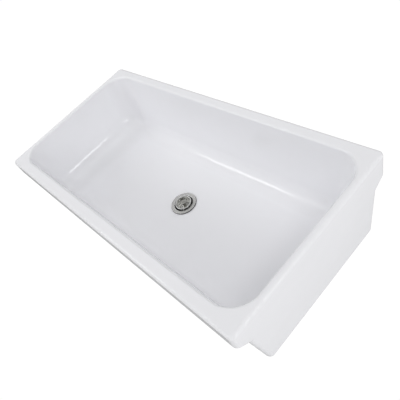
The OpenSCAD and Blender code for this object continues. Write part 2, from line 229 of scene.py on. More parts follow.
def turned(profile, columns=144):
    """Points[u, v] of a profile of (radius, height) turned round the Z axis."""
    a = np.linspace(0, 2 * np.pi, columns, endpoint=False)
    r, z = profile.T[:, :, None]
    return np.stack([r * np.cos(a), r * np.sin(a), np.broadcast_to(z, (len(r), columns))], -1)


def rings_at(bearing, levels):
    """Points[u, v] of rings with a point at each bearing, one ring for each (radius, height),
    where the radius is one number or has a value for each bearing."""
    return np.stack([
        np.stack([r * np.cos(bearing), r * np.sin(bearing), np.full_like(bearing, z)], -1)
        for r, z in levels])


def cut_thread(points, low, high, root_r, pitch, depth):
    """Presses a thread into the outer wall of turned points: a helical groove whose depth is a
    cosine of height over pitch less the turn, faded out over one pitch at both ends."""
    x, y, z = np.moveaxis(points, -1, 0)
    r = np.hypot(x, y)
    wave = 0.5 - 0.5 * np.cos(2 * np.pi * z / pitch - np.arctan2(y, x))
    fade = np.clip(np.minimum(z - low, high - z) / pitch, 0, 1)
    scale = 1 - depth * wave * fade * (r > root_r) / np.maximum(r, 1e-9)
    return np.stack([x * scale, y * scale, z], -1)


def mesh_from(name, verts, faces):
    """Smooth object at the origin from an array of corners and an array of four-cornered faces."""
    mesh = bpy.data.meshes.new(name)
    mesh.vertices.add(len(verts))
    mesh.vertices.foreach_set("co", np.asarray(verts, np.float32).ravel())
    mesh.loops.add(faces.size)
    mesh.loops.foreach_set("vertex_index", faces.astype(np.int32).ravel())
    mesh.polygons.add(len(faces))
    mesh.polygons.foreach_set("loop_start", np.arange(0, faces.size, 4, dtype=np.int32))
    mesh.polygons.foreach_set("use_smooth", np.ones(len(faces), bool))
    mesh.update(calc_edges=True)
    obj = bpy.data.objects.new(name, mesh)
    bpy.context.collection.objects.link(obj)
    return obj


def grid_faces(nu, nv, close_u, close_v):
    """Corner numbers of the faces of a grid of nu by nv points, closed along u or v if asked."""
    u, v = np.meshgrid(
        np.arange(nu if close_u else nu - 1), np.arange(nv if close_v else nv - 1), indexing="ij"
    )
    u2, v2 = (u + 1) % nu, (v + 1) % nv
    return np.stack([u * nv + v, u2 * nv + v, u2 * nv + v2, u * nv + v2], -1).reshape(-1, 4)


def close_skin(obj):
    """Merges doubled points, drops faces without area and turns all faces outwards."""
    bm = bmesh.new()
    bm.from_mesh(obj.data)
    bmesh.ops.remove_doubles(bm, verts=bm.verts, dist=1e-6)
    bmesh.ops.dissolve_degenerate(bm, edges=bm.edges, dist=1e-7)
    bmesh.ops.recalc_face_normals(bm, faces=bm.faces)
    bm.to_mesh(obj.data)
    bm.free()
    return obj


def ring_solid(name, points):
    """Closed solid from points[u, v] that come back on themselves along both."""
    nu, nv = points.shape[:2]
    return close_skin(mesh_from(name, points.reshape(-1, 3), grid_faces(nu, nv, True, True)))


def finish_piece(obj, node, body, material):
    """Dresses a piece that stands for a node and moves with its body."""
    obj.data.materials.append(material)
    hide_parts(node)
    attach(obj, body)


# Materials


def fill(tree, node, inputs):
    """Links or sets a node's inputs, given by name or number."""
    for key, value in inputs.items():
        socket = node.inputs[key]
        if isinstance(value, bpy.types.NodeSocket):
            tree.links.new(value, socket)
        else:
            socket.default_value = value


def add(tree, kind, inputs=None, **settings):
    """Adds a node, sets its fields and fills its inputs."""
    node = tree.nodes.new(kind)
    for key, value in settings.items():
        setattr(node, key, value)
    fill(tree, node, inputs or {})
    return node


def ramp(tree, value, start, end, low=0.0, high=1.0):
    """Value that runs from low to high while another runs from start to end."""
    return add(tree, "ShaderNodeMapRange", {
        "Value": value, "From Min": start, "From Max": end, "To Min": low, "To Max": high,
    }).outputs[0]


def times(tree, one, other):
    """Product of two values."""
    return add(tree, "ShaderNodeMath", {0: one, 1: other}, operation="MULTIPLY").outputs[0]


def blend(tree, share, first, second):
    """Colour that goes from the first to the second with the share."""
    mix = add(tree, "ShaderNodeMix", {0: share, 6: first, 7: second}, data_type="RGBA")
    return mix.outputs[2]


def from_axis(tree, place):
    """Distance from the Z axis, from a node that separates a place into X, Y and Z."""
    flat = add(tree, "ShaderNodeCombineXYZ", {0: place.outputs[0], 1: place.outputs[1], 2: 0.0})
    away = add(tree, "ShaderNodeVectorMath", {0: flat.outputs[0]}, operation="LENGTH")
    return away.outputs["Value"]


def group_tree(name, inputs, outputs):
    """Empty shader group with typed inputs and outputs, as (tree, input sockets, output node)."""
    tree = bpy.data.node_groups.new(name, "ShaderNodeTree")
    for label, kind, default in inputs:
        socket = tree.interface.new_socket(name=label, in_out="INPUT", socket_type=kind)
        if default is not None:
            socket.default_value = default
    for label, kind in outputs:
        tree.interface.new_socket(name=label, in_out="OUTPUT", socket_type=kind)
    return tree, tree.nodes.new("NodeGroupInput").outputs, tree.nodes.new("NodeGroupOutput")


def cloudy_tone_group():
    """Colour that drifts between two tones in soft clouds: noise of the given scale, stretched
    between its usual lowest and highest values, picks the place between them."""
    tree, given, out = group_tree(
        "cloudy_tone",
        [("Vector", "NodeSocketVector", None), ("Light", "NodeSocketColor", (0.8, 0.8, 0.8, 1)),
         ("Dark", "NodeSocketColor", (0.5, 0.5, 0.5, 1)), ("Scale", "NodeSocketFloat", 10.0)],
        [("Color", "NodeSocketColor")],
    )
    noise = add(tree, "ShaderNodeTexNoise",
                {"Vector": given["Vector"], "Scale": given["Scale"], "Detail": 5.0,
                 "Roughness": 0.6, "Distortion": 0.3})
    share = ramp(tree, noise.outputs["Fac"], 0.32, 0.68)
    fill(tree, out, {"Color": blend(tree, share, given["Dark"], given["Light"])})


def fine_grain_group():
    """Even fine grain: noise of the given scale as a height, and a roughness that runs between
    two values with a coarser noise."""
    tree, given, out = group_tree(
        "fine_grain",
        [("Vector", "NodeSocketVector", None), ("Scale", "NodeSocketFloat", 200.0),
         ("Smooth", "NodeSocketFloat", 0.2), ("Rough", "NodeSocketFloat", 0.4)],
        [("Height", "NodeSocketFloat"), ("Roughness", "NodeSocketFloat")],
    )
    fine = add(tree, "ShaderNodeTexNoise",
               {"Vector": given["Vector"], "Scale": given["Scale"], "Detail": 3.0})
    coarse = add(tree, "ShaderNodeTexNoise",
                 {"Vector": given["Vector"], "Scale": times(tree, given["Scale"], 0.15),
                  "Detail": 2.0})
    rough = ramp(tree, coarse.outputs["Fac"], 0.35, 0.65, given["Smooth"], given["Rough"])
    fill(tree, out, {"Height": fine.outputs["Fac"], "Roughness": rough})


def turning_marks_group():
    """Rings left by turning: noise over the sum of distance from the Z axis and height, times
    the rings in a metre, so that they run round every turned face."""
    tree, given, out = group_tree(
        "turning_marks",
        [("Vector", "NodeSocketVector", None), ("Rings", "NodeSocketFloat", 900.0)],
        [("Height", "NodeSocketFloat")],
    )
    place = add(tree, "ShaderNodeSeparateXYZ", {0: given["Vector"]})
    along = add(tree, "ShaderNodeMath", {0: from_axis(tree, place), 1: place.outputs[2]})
    wave = add(tree, "ShaderNodeTexNoise",
               {"W": times(tree, along.outputs[0], given["Rings"]), "Scale": 1.0, "Detail": 4.0},
               noise_dimensions="1D")
    fill(tree, out, {"Height": wave.outputs["Fac"]})


# Radius of the painted shade in the strainer's cup, which stands in for the shade of the deep
# cup, the width of its edge, the height over which it fades in below the flange, and its colour
CUP_SHADE_R = 0.0267
CUP_SHADE_EDGE = 0.0005
CUP_SHADE_FADE = 0.004
CUP_SHADE_RGB = (0.02, 0.02, 0.018)


def painted_cup_shade_group():
    """Painted shade: colour darkened inside the strainer's cup, where its depth keeps the light out;
    it fades in over a few millimetres below the flange, and ends at the cup's wall."""
    tree, given, out = group_tree(
        "water_film",
        [("Vector", "NodeSocketVector", None), ("Color", "NodeSocketColor", (0.5, 0.5, 0.5, 1)),
         ("Amount", "NodeSocketFloat", 0.9)],
        [("Color", "NodeSocketColor")],
    )
    place = add(tree, "ShaderNodeSeparateXYZ", {0: given["Vector"]})
    inside = ramp(tree, from_axis(tree, place), CUP_SHADE_R + CUP_SHADE_EDGE, CUP_SHADE_R, 0.0, given["Amount"])
    below = ramp(tree, place.outputs[2], FLANGE_Z, FLANGE_Z - CUP_SHADE_FADE)
    cup_shade = times(tree, inside, below)
    fill(tree, out, {"Color": blend(tree, cup_shade, given["Color"], shade(CUP_SHADE_RGB, 1.0))})


GROUP_MAKERS = {
    "cloudy_tone": cloudy_tone_group,
    "fine_grain": fine_grain_group,
    "turning_marks": turning_marks_group,
    "water_film": painted_cup_shade_group,
}


def use_group(tree, name, inputs):
    """Places a shared group, making it the first time, and sets or links its inputs."""
    if name not in bpy.data.node_groups:
        GROUP_MAKERS[name]()
    return add(tree, "ShaderNodeGroup", inputs, node_tree=bpy.data.node_groups[name])


def new_material(name):
    """Empty material, as (material, tree, shader, Object coordinates)."""
    mat = bpy.data.materials.new(name)
    mat.use_nodes = True
    tree = mat.node_tree
    place = add(tree, "ShaderNodeTexCoord").outputs["Object"]
    return mat, tree, tree.nodes["Principled BSDF"], place


def shade(rgb, share):
    """The colour times a share, with full alpha."""
    return (*(channel * share for channel in rgb), 1)


def bump(tree, height, distance, normal=None):
    """Normal bent by a height of that many metres, on top of another bent normal if given."""
    inputs = {"Height": height, "Distance": distance, "Strength": 1.0}
    if normal is not None:
        inputs["Normal"] = normal
    return add(tree, "ShaderNodeBump", inputs).outputs[0]


def glaze_material(finish):
    """Glossy white glaze with soft clouds of tone, long shallow waves and a few pinholes. What
    faces down within 5 mm of the base is bare rough clay."""
    mat, tree, shader, place = new_material("white_glaze")
    tone = use_group(tree, "cloudy_tone", {
        "Vector": place, "Light": shade(finish.glaze, 1.0), "Dark": shade(finish.glaze, 0.985),
        "Scale": 5.0})
    clay = use_group(tree, "cloudy_tone", {
        "Vector": place, "Light": shade(finish.clay, 1.0), "Dark": shade(finish.clay, 0.8),
        "Scale": 60.0})
    normal = add(tree, "ShaderNodeNewGeometry").outputs["Normal"]
    facing = add(tree, "ShaderNodeSeparateXYZ", {0: normal})
    height = add(tree, "ShaderNodeSeparateXYZ", {0: place})
    down = ramp(tree, facing.outputs[2], -0.8, -0.95)
    bare = times(tree, down, ramp(tree, height.outputs[2], 0.006, 0.0045))
    gloss = use_group(tree, "fine_grain", {
        "Vector": place, "Scale": 90.0, "Smooth": 0.05, "Rough": 0.09})
    rough = add(tree, "ShaderNodeMix", {0: bare, 2: gloss.outputs["Roughness"], 3: 0.85})
    waves = add(tree, "ShaderNodeTexNoise", {"Vector": place, "Scale": 22.0, "Detail": 1.0})
    holes = add(tree, "ShaderNodeTexVoronoi", {"Vector": place, "Scale": 28.0})
    pinholes = ramp(tree, holes.outputs["Distance"], 0.008, 0.022)
    wavy = bump(tree, waves.outputs["Fac"], 0.0004)
    pitted = bump(tree, pinholes, 0.00008, wavy)
    fill(tree, shader, {
        "Base Color": blend(tree, bare, tone.outputs["Color"], clay.outputs["Color"]),
        "Roughness": rough.outputs[0],
        "Normal": bump(tree, gloss.outputs["Height"], 0.00002, pitted)})
    shader.inputs["IOR"].default_value = 1.5
    return mat


def metal_material(name, rgb, tarnish, smooth, rough, marks, grain, cup_shade=0.0):
    """Metal with clouds of tarnish, roughness that varies, turning marks and cast grain, and painted
    shade inside the strainer's cup if asked. The marks and the grain are depths in metres."""
    mat, tree, shader, place = new_material(name)
    tone = use_group(tree, "cloudy_tone", {
        "Vector": place, "Light": shade(rgb, 1.0), "Dark": shade(rgb, tarnish), "Scale": 90.0})
    # Painted shade: near black inside the strainer's cup, below the flange
    if cup_shade > 0:
        tone = use_group(tree, "water_film", {
            "Vector": place, "Color": tone.outputs["Color"], "Amount": cup_shade})
    surface = use_group(tree, "fine_grain", {
        "Vector": place, "Scale": 700.0, "Smooth": smooth, "Rough": rough})
    rings = use_group(tree, "turning_marks", {"Vector": place, "Rings": 2500.0})
    turned_normal = bump(tree, rings.outputs["Height"], marks)
    fill(tree, shader, {
        "Base Color": tone.outputs["Color"], "Roughness": surface.outputs["Roughness"],
        "Normal": bump(tree, surface.outputs["Height"], grain, turned_normal)})
    shader.inputs["Metallic"].default_value = 1.0
    return mat


def soft_material(name, rgb, dark, scale, smooth, rough, grain):
    """Rubber, fibre or nylon: clouds of two tones, varied roughness and a fine grain."""
    mat, tree, shader, place = new_material(name)
    tone = use_group(tree, "cloudy_tone", {
        "Vector": place, "Light": shade(rgb, 1.0), "Dark": shade(rgb, dark), "Scale": scale})
    surface = use_group(tree, "fine_grain", {
        "Vector": place, "Scale": scale * 4, "Smooth": smooth, "Rough": rough})
    fill(tree, shader, {
        "Base Color": tone.outputs["Color"], "Roughness": surface.outputs["Roughness"],
        "Normal": bump(tree, surface.outputs["Height"], grain)})
    return mat


# Each finish of the waste fitting: its slot, its maker, its name, and the settings that the maker
# takes after the colour of the same key
FITTINGS = {
    # The drawn steel's last setting is how dark the painted shade in its cup is
    "steel": ("steel", metal_material, "drawn_steel", (0.9, 0.2, 0.36, 0.00001, 0.000002, 0.9)),
    "basket": ("steel", metal_material, "polished_steel", (0.93, 0.22, 0.34, 0.000006, 0.000001)),
    "knob": ("steel", metal_material, "satin_steel", (0.85, 0.3, 0.42, 0.00001, 0.000002)),
    "brass": ("brass", metal_material, "raw_brass", (0.6, 0.25, 0.5, 0.00002, 0.00001)),
    "zinc": ("zinc", metal_material, "cast_zinc", (0.65, 0.45, 0.7, 0.000002, 0.00005)),
    "rubber": ("rubber", soft_material, "black_rubber", (0.5, 150.0, 0.55, 0.8, 0.00003)),
    "fibre": ("fibre", soft_material, "pressed_fibre", (0.6, 400.0, 0.8, 0.95, 0.00006)),
    "nylon": ("nylon", soft_material, "white_nylon", (0.9, 80.0, 0.35, 0.5, 0.00001)),
}


def fitting_material(key, finish):
    """Material of a finish of the waste fitting, made the first time that it is asked for."""
    _, maker, name, settings = FITTINGS[key]
    made = bpy.data.materials.get(name)
    return made or maker(name, getattr(finish, key), *settings)


def finish_fittings(pieces, body, finish):
    """Dresses pieces of the waste fitting, given as (piece, node, key of its finish)."""
    for obj, node, key in pieces:
        finish_piece(obj, node, body, fitting_material(key, finish))


# Basin

# Points along each run and each arc of a wall's path, from the base round to the floor
RUNS = (8, 14, 5, 8, 8, 14)
ARCS = (7, 5, 5, 8, 8, 24)
CORNER_POINTS = 16
LONG_POINTS = 60
END_POINTS = 30
FLOOR_RINGS = 24
BASE_RINGS = 8

# Smallest corner radius of the basin in plan, where its outside draws in
TIGHT_CORNER_R = 0.0015


def wall_paths(s):
    """Front, back and end wall paths of the basin, as (distance, height, radius) from under the
    floor, out and up the outside, over the rim and down the bowl to the floor. The ends are
    plain: two corners without a radius stand in for the notch and the lip."""
    floor_edge = FLOOR_Z + s.floor_fall
    depth = RIM_Z - floor_edge

    def long_path(lip_h, reach, drop, lean, rim):
        notch_y = HALF_W - reach
        open_y = HALF_W - rim
        foot_y = open_y - depth * math.tan(s.long_wall_lean)
        return [
            (s.pocket_r * 1.5, 0, 0), (notch_y - lean, 0, s.base_edge_r),
            (notch_y, RIM_Z - lip_h - drop, s.notch_r), (HALF_W, RIM_Z - lip_h, s.lip_edge_r),
            (HALF_W, RIM_Z, s.rim_edge_r), (open_y, RIM_Z, s.opening_edge_r),
            (foot_y, floor_edge, s.long_fillet_r), (0, floor_edge, 0),
        ]

    open_x = HALF_LEN - s.rim_end
    foot_x = open_x - depth * math.tan(s.end_wall_lean)
    end_path = [
        (HALF_LEN * 0.6, 0, 0), (HALF_LEN, 0, s.base_edge_r),
        (HALF_LEN, RIM_Z * 0.6, 0), (HALF_LEN, RIM_Z * 0.7, 0),
        (HALF_LEN, RIM_Z, s.rim_edge_r), (open_x, RIM_Z, s.opening_edge_r),
        (foot_x, floor_edge, s.end_fillet_r), (0, floor_edge, 0),
    ]
    front = long_path(s.front_lip_h, s.front_lip_reach, s.front_lip_drop, s.front_lean, s.rim_front)
    back = long_path(s.back_lip_h, s.back_lip_reach, s.back_lip_drop, s.back_lean, s.rim_back)
    return front, back, end_path


def walk_wall(path):
    """Samples a wall's path: each run with points packed towards its ends by a cosine rule, and
    each corner with points on its circle, so that all three walls have as many points."""
    p = np.array([v[:2] for v in path], float)
    out = []
    start = p[0]
    for k in range(1, len(p) - 1):
        arc = rounded_corner(p[k - 1], p[k], p[k + 1], path[k][2], ARCS[k - 1] + 1)
        if len(arc) == 1:
            arc = np.repeat(arc, ARCS[k - 1] + 2, 0)
        t = (0.5 - 0.5 * np.cos(np.pi * np.linspace(0, 1, RUNS[k - 1] + 1)))[:-1, None]
        out += [start * (1 - t) + arc[0] * t, arc[:-1]]
        start = arc[-1]
    return np.concatenate(out + [start[None]])[1:]


def wall_rings(s):
    """Rings of the basin's walls. Ring i takes its half length from the end path and its front
    and back from theirs; its corners are circles, and inside the bowl its height blends from the
    long walls' to the end walls' round each corner."""
    front, back, end = (walk_wall(path) for path in wall_paths(s))
    # First ring of the bowl's edge: each arc before it has one point more than ARCS says, and the
    # path's first point is left out
    bowl_edge = sum(RUNS[:5]) + sum(ARCS[:4]) + 4 - 1
    open_x = HALF_LEN - s.rim_end
    x = end[:, 0]
    down_bowl = (open_x - x) / (open_x - x[-1])
    inside = np.arange(len(x)) >= bowl_edge
    bowl_r = np.where(x > open_x, s.bowl_corner_r + x - open_x,
                      s.bowl_corner_r + (s.floor_corner_r - s.bowl_corner_r) * down_bowl)
    outside_r = np.maximum(s.plan_corner_r - (HALF_LEN - x), TIGHT_CORNER_R)
    radius = np.where(inside, bowl_r, outside_r)
    t = np.linspace(0, 1, CORNER_POINTS)
    corners = []
    for c in range(4):
        side = front if c in (0, 3) else back
        a = np.pi / 2 * (c - 1 + t)
        toward_end = t if c % 2 == 0 else 1 - t
        share = toward_end ** 2 * (3 - 2 * toward_end) * inside[:, None]
        corners.append(np.stack([
            (1 if c < 2 else -1) * (x - radius)[:, None] + radius[:, None] * np.cos(a),
            (-1 if c in (0, 3) else 1) * (side[:, 0] - radius)[:, None]
            + radius[:, None] * np.sin(a),
            side[:, 1:] + (end[:, 1:] - side[:, 1:]) * share,
        ], -1))
    around = []
    for c in range(4):
        here, after = corners[c], corners[(c + 1) % 4]
        points = END_POINTS if c % 2 == 0 else LONG_POINTS
        f = np.linspace(0, 1, points + 2)[1:-1][None, :, None]
        around += [here, here[:, -1:] * (1 - f) + after[:, :1] * f]
    return np.concatenate(around, 1)


def make_basin(s):
    """Basin: the wall rings, then the floor falling on an S-curve to the level land, the waste
    hole, the pocket under it and the base, which meets the first wall ring."""
    walls = wall_rings(s)
    edge = walls[-1]
    bearing = np.arctan2(edge[:, 1], edge[:, 0])
    f = np.linspace(0, 1, FLOOR_RINGS + 1)[1:, None, None]
    plan = edge * (1 - f) + rings_at(bearing, [(s.waste_land_r, FLOOR_Z)]) * f
    plan[:, :, 2] = (FLOOR_Z + s.floor_fall * (1 - f * f * (3 - 2 * f)))[:, :, 0]
    soft = 0.0012
    hole = rings_at(bearing, [
        (s.waste_land_r - 3 * soft, FLOOR_Z), (s.waste_hole_r + soft, FLOOR_Z),
        (s.waste_hole_r + soft * 0.3, FLOOR_Z - soft * 0.3), (s.waste_hole_r, FLOOR_Z - soft),
        (s.waste_hole_r, s.pocket_h + soft), (s.waste_hole_r, s.pocket_h + soft / 8),
        (s.waste_hole_r + soft / 8, s.pocket_h), (s.waste_hole_r + soft, s.pocket_h),
        (s.pocket_r - soft, s.pocket_h), (s.pocket_r - soft / 8, s.pocket_h),
        (s.pocket_r, s.pocket_h - soft / 8), (s.pocket_r, soft / 8),
        (s.pocket_r + soft / 8, 0), (s.pocket_r + soft, 0),
    ])
    g = np.linspace(0, 1, BASE_RINGS)[1:-1, None, None]
    base = hole[-1] * (1 - g) + walls[0] * g
    base[:, :, 2] = 0
    return ring_solid("glazed_basin", np.concatenate([walls, plan, hole, base]))


# Waste fitting

# Gap round what screws or slides together, how much thinner the post's spigot in the knob is than
# the post, and the gap round the spigot
FIT = 0.00015
SPIGOT_IN = 0.0015
SPIGOT_FIT = 0.00005
# Rise of the strainer's lip above the flange's top, the place of the flange's thin edge as a share
# of its thickness, and the depth of the cup's throat below the flange's seat
LIP_RISE = 0.0003
FLANGE_EDGE = 0.55
THROAT_DROP = 0.009


def thread_bore(w):
    """Radius of a bore that goes over the cup's threaded wall."""
    return w.cup_r + w.cup_wall + FIT


def washer(name, node, inner_r, edge_r, inset=0.0):
    """Flat ring that fills its node's box but for the inset, with softly rounded edges."""
    low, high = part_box(node)
    outer_r = high[0] - inset
    return ring_solid(name, turned(outline([
        (inner_r, low[2], edge_r), (outer_r, low[2], edge_r),
        (outer_r, high[2], edge_r), (inner_r, high[2], edge_r)], 4)))


def make_strainer(w):
    """Strainer body: a flange that curves down to a thin edge just clear of its gasket, a raised
    lip, and a cup that necks in to its threaded wall."""
    low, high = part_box("strainer_body")
    flange_r, lip_z = high[0] - w.flange_inset, high[2]
    flange_t = lip_z - FLANGE_Z - LIP_RISE
    top = FLANGE_Z + flange_t
    edge_z = FLANGE_Z + flange_t * FLANGE_EDGE
    cup_z = low[2] + w.cup_floor
    throat_z = FLANGE_Z - THROAT_DROP
    thread_r = w.cup_r + w.cup_wall
    profile = outline([
        (flange_r - w.flange_curve, FLANGE_Z, 0.001), (flange_r, edge_z, 0.0001),
        (flange_r, edge_z + 0.0003, 0.00015), (flange_r - w.flange_curve / 2, top, w.flange_curve),
        (w.lip_r + 0.0024, top - 0.0003, 0.002),
        (w.lip_r + 0.0004, lip_z, 0.0007), (w.lip_r - 0.0009, FLANGE_Z, 0.0015),
        (w.cup_r, throat_z, 0.006), (w.cup_r, cup_z, 0.004),
        (w.outlet_r, cup_z, 0.0004), (w.outlet_r, low[2], 0.0002),
        (thread_r, low[2], 0.001), (thread_r, throat_z + 0.001, 0.004),
        (w.lip_r + 0.0007, FLANGE_Z, 0)], 7, 0.0005)
    points = cut_thread(turned(profile, 160), low[2] + 0.001, 0.004, w.cup_r + 0.0015,
                        w.thread_pitch, w.thread_depth)
    return ring_solid("strainer_flange_and_cup", points)


def make_locknut(w):
    """Locknut: a plan outline of lugs round a ring, carried up past the lugs' top, where its
    radius is held to the ring's, with bevelled edges."""
    low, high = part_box("locknut")
    lug_r = float(high[0])
    bore, ring = thread_bore(w), w.locknut_r
    lug_top = low[2] + (high[2] - low[2]) * 0.75
    half_w = w.lug_w / 2
    foot = math.sqrt(ring ** 2 - half_w ** 2)
    edge_r = 0.001
    step = 2 * math.pi / w.lug_count
    corners = np.array([(foot, -half_w), (lug_r, -half_w), (lug_r, half_w), (foot, half_w)])
    lug = np.concatenate([
        np.linspace((foot, -half_w), (lug_r - edge_r, -half_w), 4),
        rounded_corner(*corners[:3], edge_r, 5),
        np.linspace((lug_r, -half_w * 0.6), (lug_r, half_w * 0.6), 4),
        rounded_corner(*corners[1:], edge_r, 5),
        np.linspace((lug_r - edge_r, half_w), (foot, half_w), 4),
    ])
    foot_a = math.asin(half_w / ring)
    a = np.linspace(foot_a, step - foot_a, 16)[1:-1]
    between = ring * np.stack([np.cos(a), np.sin(a)], 1)
    cell = np.concatenate([lug, between])
    bearing = np.concatenate([np.arctan2(cell[:, 1], cell[:, 0]) + step * i
                              for i in range(w.lug_count)])
    reach = np.tile(np.hypot(cell[:, 0], cell[:, 1]), w.lug_count)
    soft = 0.0006
    return ring_solid("lugged_locknut", rings_at(bearing, [
        (bore, low[2] + soft), (bore + soft, low[2]), (reach - soft, low[2]),
        (reach, low[2] + soft), (reach, lug_top - soft), (reach - soft, lug_top),
        (np.minimum(reach, ring), lug_top), (ring, high[2] - soft), (ring - soft, high[2]),
        (bore + soft, high[2]), (bore, high[2] - soft),
    ]))


def make_tailpiece(w):
    """Tailpiece: a thin flanged tube with a bead below its nut and a deburred lower end."""
    low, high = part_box("tailpiece")
    bore = w.tail_r - w.tail_wall
    flange_r = high[0]
    nut_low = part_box("coupling_nut")[0][2]
    bead_z, bead_h, bead_out = nut_low - 0.004, 0.0016, 0.0014
    under = high[2] - 0.0015
    return ring_solid("tailpiece_tube", turned(outline([
        (bore, low[2], 0.0003), (w.tail_r, low[2], 0.0003),
        (w.tail_r, bead_z - bead_h, 0.0008), (w.tail_r + bead_out, bead_z, 0.0008),
        (w.tail_r, bead_z + bead_h, 0.0008), (w.tail_r, under, 0.0006),
        (flange_r, under, 0.0004), (flange_r, high[2], 0.0004), (bore, high[2], 0.0006)], 6, 0.006)))


def make_coupling_nut(w):
    """Coupling nut: six flats whose corners are cut by the cones above and below, each point's
    radius being the lesser of the hexagon's and the cone's, under a round collar."""
    low, high = (corner[2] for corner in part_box("coupling_nut"))
    half_flats = w.nut_flats / 2
    corner_r = half_flats / math.cos(math.pi / 6)
    flats_top = low + (high - low) * 0.62
    bore = w.tail_r + 2 * FIT
    thread_r = w.outlet_thread_r + FIT
    a = np.linspace(0, 2 * np.pi, 216, endpoint=False)
    turn = (a + np.pi / 6) % (np.pi / 3) - np.pi / 6
    hexagon = half_flats / np.cos(turn)
    soft, chamfer = 0.0005, 0.002
    collar = half_flats - 0.001
    ease = corner_r - 0.0006

    def held(limit):
        return np.minimum(hexagon, limit)

    return ring_solid("hexagon_coupling_nut", rings_at(a, [
        (bore, low + soft), (bore + soft, low), (held(half_flats - 0.0008), low),
        (held(half_flats - 0.0002), low + soft * 0.4), (held(ease), low + chamfer),
        (held(ease), flats_top - chamfer), (held(half_flats - 0.0002), flats_top - soft * 0.4),
        (held(collar + 0.0001), flats_top), (collar, flats_top),
        (collar, flats_top + soft / 4), (collar, high - soft * 2),
        (collar - soft / 2, high - soft / 2), (collar - soft * 2, high),
        (thread_r + soft, high), (thread_r, high - soft),
        (thread_r, low + w.nut_lip + soft / 4), (thread_r - soft / 4, low + w.nut_lip),
        (bore + soft, low + w.nut_lip), (bore, low + w.nut_lip - soft),
    ]))


# Basket

# Half the height of a punched cell over its hole's radius, in the wall and in the floor, and the
# spacing of points across the plain bands
WALL_CELL = 1.6
FLOOR_CELL = 1.5
BAND_STEP = 0.0015


def basket_path(w):
    """Outer side of the basket's metal as (radius, height), from its post out over the floor, up
    the wall and round the rolled rim, and how far along it each point lies."""
    low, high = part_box("basket_cup")
    rim_r, top = high[0] - w.basket_slack, high[2]
    wall_r = rim_r - w.basket_roll
    corners = [
        (w.post_r, low[2], 0), (w.basket_foot_r, low[2], 0.003), (wall_r, top - 0.0011, 0.0006),
        (wall_r + 0.0002, top, 0.0004), (rim_r, top, 0.0006), (rim_r, top - 0.002, 0.0004),
        (rim_r - 0.0008, top - 0.002, 0)]
    p = np.array([c[:2] for c in corners], float)
    parts = [p[:1]]
    for k in range(1, len(p) - 1):
        parts.append(rounded_corner(p[k - 1], p[k], p[k + 1], corners[k][2], 6))
    parts.append(p[-1:])
    path = np.concatenate(parts)
    along = np.concatenate([[0], np.cumsum(np.linalg.norm(np.diff(path, axis=0), axis=1))])
    return path, along


def punched_cell(across, half_s, half_a, hole_r, rings=4):
    """Patch round a hole: rings of points that go from a circle of the hole's radius out to the
    rectangle of half widths half_s and half_a, with the given number of points across."""
    top = np.linspace(-1, 1, across + 1)[:-1]
    side = np.linspace(-1, 1, 7)[:-1]
    square = np.concatenate([
        np.stack([np.full(across, -1.0), top], 1), np.stack([side, np.full(6, 1.0)], 1),
        np.stack([np.full(across, 1.0), -top], 1), np.stack([-side, np.full(6, -1.0)], 1),
    ]) * (half_s, half_a)
    circle = square / np.linalg.norm(square, axis=1)[:, None] * hole_r
    f = (np.linspace(0, 1, rings + 1) ** 1.4)[:, None, None]
    return circle * (1 - f) + square * f


def make_basket(w):
    """Basket: bands of plain metal and rows of punched cells in (distance along the profile,
    turn), laid on the turned profile and given the metal's thickness inwards."""
    path, along = basket_path(w)
    columns = w.hole_count * 6
    turn = np.linspace(0, 2 * np.pi, columns + 1)
    top_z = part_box("basket_cup")[1][2]
    # Points before the rolled rim, whose outer side comes down again
    climbing = (path[:, 1] < top_z - 0.0012) & (np.arange(len(path)) < len(path) - 6)
    half_row = w.hole_r * WALL_CELL
    row_s = [float(np.interp(top_z - w.hole_drop - row * half_row * 2,
                             path[climbing][:, 1], along[climbing]))
             for row in range(w.hole_rows)][::-1]
    floor_r = (w.basket_foot_r + w.post_r) / 2 + 0.001
    floor_s = floor_r - w.post_r
    half_floor = w.hole_r * FLOOR_CELL
    bands = [(0.0, floor_s - half_floor)]
    rows = [(floor_s, half_floor, w.floor_hole_count, 0.0)]
    start = floor_s + half_floor
    for i, s in enumerate(row_s):
        if s - half_row > start + 1e-6:
            bands.append((start, s - half_row))
        rows.append((s, half_row, w.hole_count, 0.5 * ((w.hole_rows - 1 - i) % 2)))
        start = s + half_row
    bands.append((start, along[-1]))
    verts, faces = [], []

    def lay(s, a, closed):
        """Adds a patch with points at each distance along the profile and each turn."""
        r = np.interp(s, along, path[:, 0])
        z = np.interp(s, along, path[:, 1])
        grid = np.stack([r * np.cos(a), r * np.sin(a), z], -1)
        faces.append(grid_faces(*grid.shape[:2], False, closed) + sum(map(len, verts)))
        verts.append(grid.reshape(-1, 3))

    for s0, s1 in bands:
        inner = along[(along > s0 + 1e-5) & (along < s1 - 1e-5)]
        spread = np.linspace(s0, s1, max(3, int((s1 - s0) / BAND_STEP)))
        s = np.unique(np.concatenate([spread, inner]).round(6))
        lay(*np.meshgrid(s, turn, indexing="ij"), False)
    for s, half_s, holes, shift in rows:
        r = float(np.interp(s, along, path[:, 0]))
        cell = punched_cell(columns // holes, half_s, math.pi * r / holes, w.hole_r)
        for i in range(holes):
            a = 2 * math.pi * (i + shift + 0.5) / holes
            lay(s + cell[..., 0], a + cell[..., 1] / r, True)
    obj = close_skin(
        mesh_from("perforated_basket", np.concatenate(verts), np.concatenate(faces)))
    skin = obj.modifiers.new("metal", "SOLIDIFY")
    skin.thickness = w.basket_metal
    skin.offset = 1
    return obj


